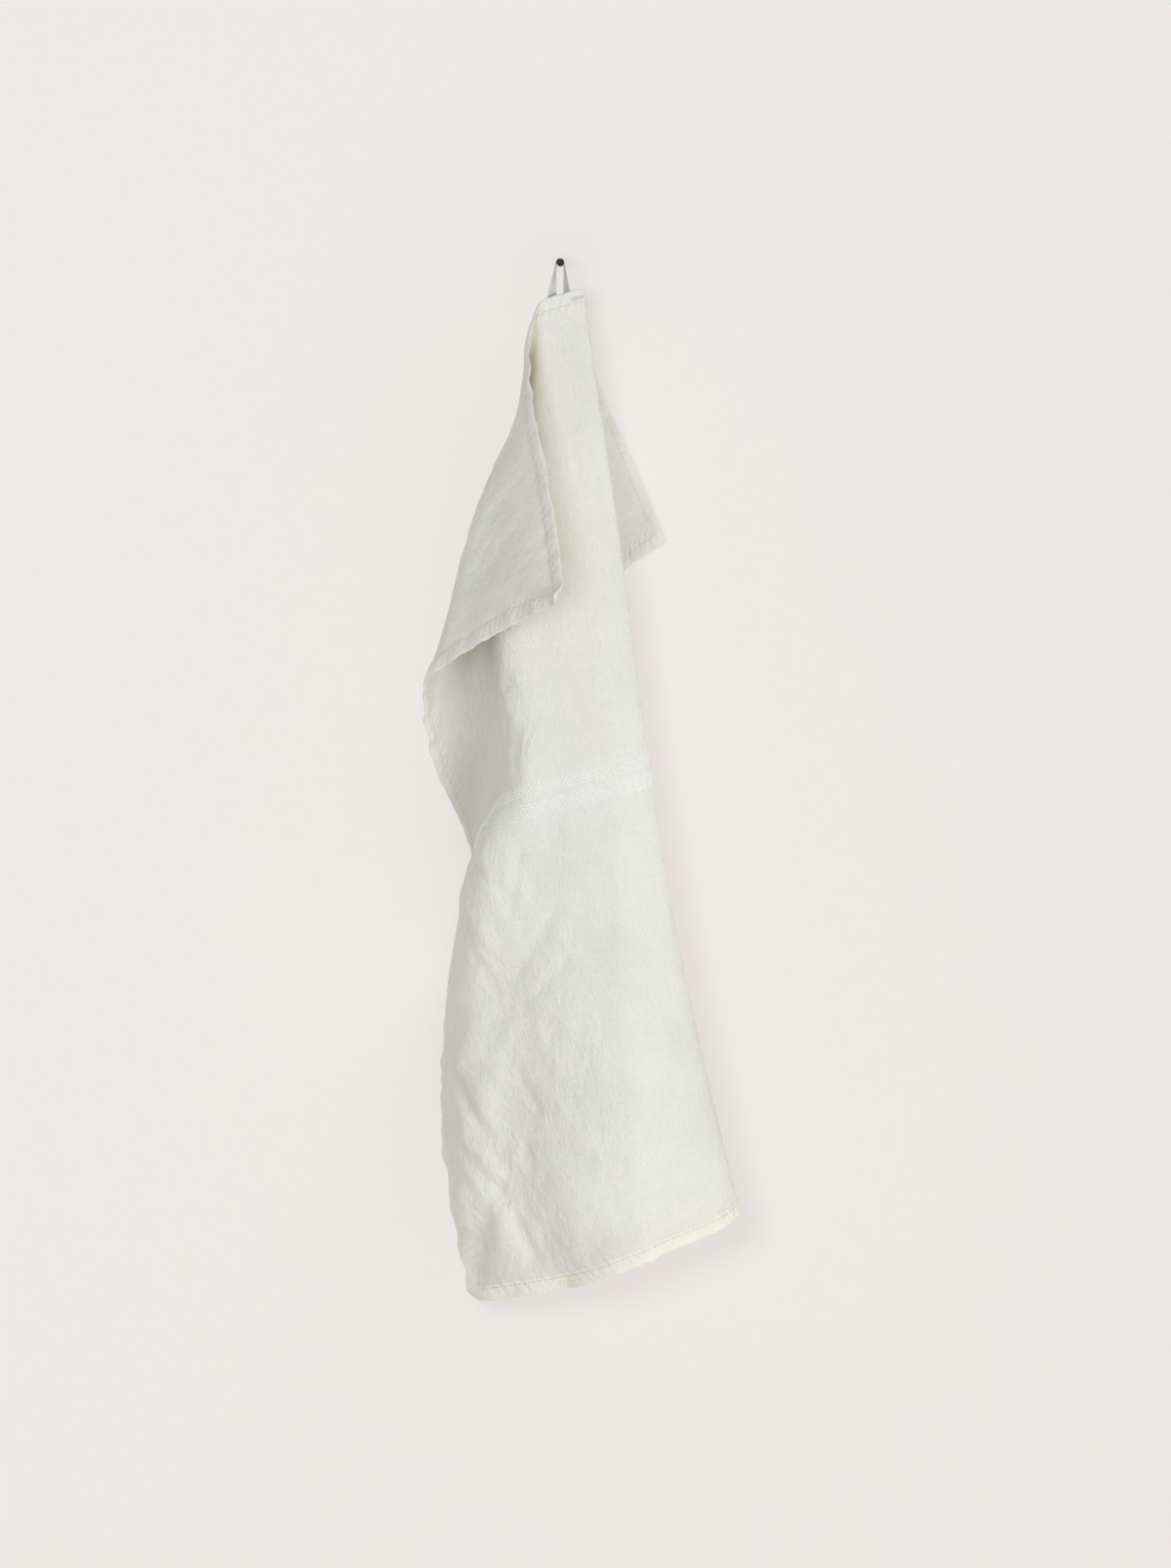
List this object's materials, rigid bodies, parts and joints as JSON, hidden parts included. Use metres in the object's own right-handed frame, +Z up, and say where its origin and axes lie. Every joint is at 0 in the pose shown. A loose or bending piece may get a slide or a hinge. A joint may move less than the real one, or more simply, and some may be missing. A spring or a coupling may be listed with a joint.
{
  "type": "kitchen towel hanging by its loop on a wall peg",
  "caption": "Off-white linen kitchen towel with a woven stripe band, draped in deep folds from its tape loop on a slim black wall peg.",
  "frame": {"origin": "middle of the peg's flat back face, on the wall", "axes": "+Y into the wall, +Z up, +X to the right as seen from the room"},
  "size_m": [0.2306, 0.174, 0.7592],
  "materials": {
    "linen": "plain washed linen weave, matt",
    "tape": "narrow woven cotton tape, matt",
    "black_metal": "satin black powder coat"
  },
  "bodies": {
    "root": {"towel": "linen", "hanging_loop": "tape", "hook": "black_metal"}
  },
  "joints": []
}
